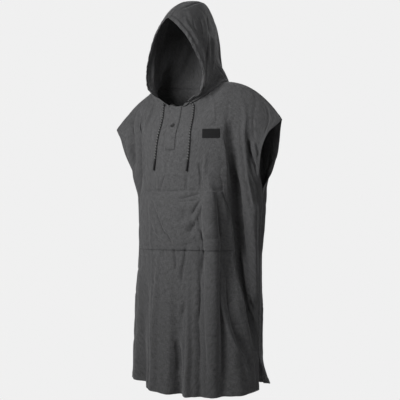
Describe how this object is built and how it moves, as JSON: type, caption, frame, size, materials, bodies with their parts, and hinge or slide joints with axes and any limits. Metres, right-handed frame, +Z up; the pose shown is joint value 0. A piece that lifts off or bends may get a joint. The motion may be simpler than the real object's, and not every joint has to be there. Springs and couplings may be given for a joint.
{
  "type": "hooded bath poncho",
  "caption": "Hooded sleeveless changing poncho in woven cloth, with a buttoned placket, a kangaroo pocket, side slits and a drawcord at the hood.",
  "frame": {"origin": "midway between the wearer's shoulders, level with the neckline at the side of the neck, in the plane of the shoulder tips", "axes": "+Z up, -Y to the wearer's front, +X to the wearer's left"},
  "size_m": [0.672, 0.3335, 1.3379],
  "materials": {
    "shell": "matt plain-woven charcoal cloth",
    "patch": "fine black woven label, bare",
    "cord": "braided black cord with pale flecks",
    "tip": "black moulded cord end",
    "button": "dark grey four-hole button"
  },
  "bodies": {
    "root": {"front": "shell", "back": "shell", "hood_left": "shell", "hood_right": "shell", "pocket": "shell", "placket": "shell", "button": "button", "label": "patch", "cord_left": "cord", "cord_right": "cord", "cord_tip_left": "tip", "cord_tip_right": "tip"}
  },
  "joints": []
}
